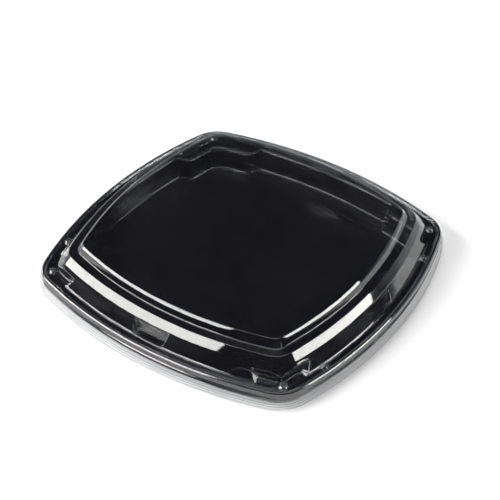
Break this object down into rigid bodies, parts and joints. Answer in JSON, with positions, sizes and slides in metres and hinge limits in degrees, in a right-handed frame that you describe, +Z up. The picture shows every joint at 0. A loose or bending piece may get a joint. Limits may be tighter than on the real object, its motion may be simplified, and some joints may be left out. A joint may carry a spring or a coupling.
{
  "type": "takeaway platter with lid",
  "caption": "Square bow-sided black plastic takeaway platter, empty, with a clear lift-off dome lid that has a stepped flat top and a rolled rim.",
  "frame": {"origin": "centre of the tray's footprint, on the plane it stands on", "axes": "+Z up through the lid; X and Y square to the sides, and the flange's second pips lie along the two sides that face Y"},
  "size_m": [0.2998, 0.2998, 0.0458],
  "materials": {
    "black_plastic": "glossy thermoformed sheet",
    "clear_plastic": "clear glossy thermoformed sheet"
  },
  "bodies": {
    "root": {"tray": "black_plastic", "lid": "clear_plastic"}
  },
  "joints": []
}
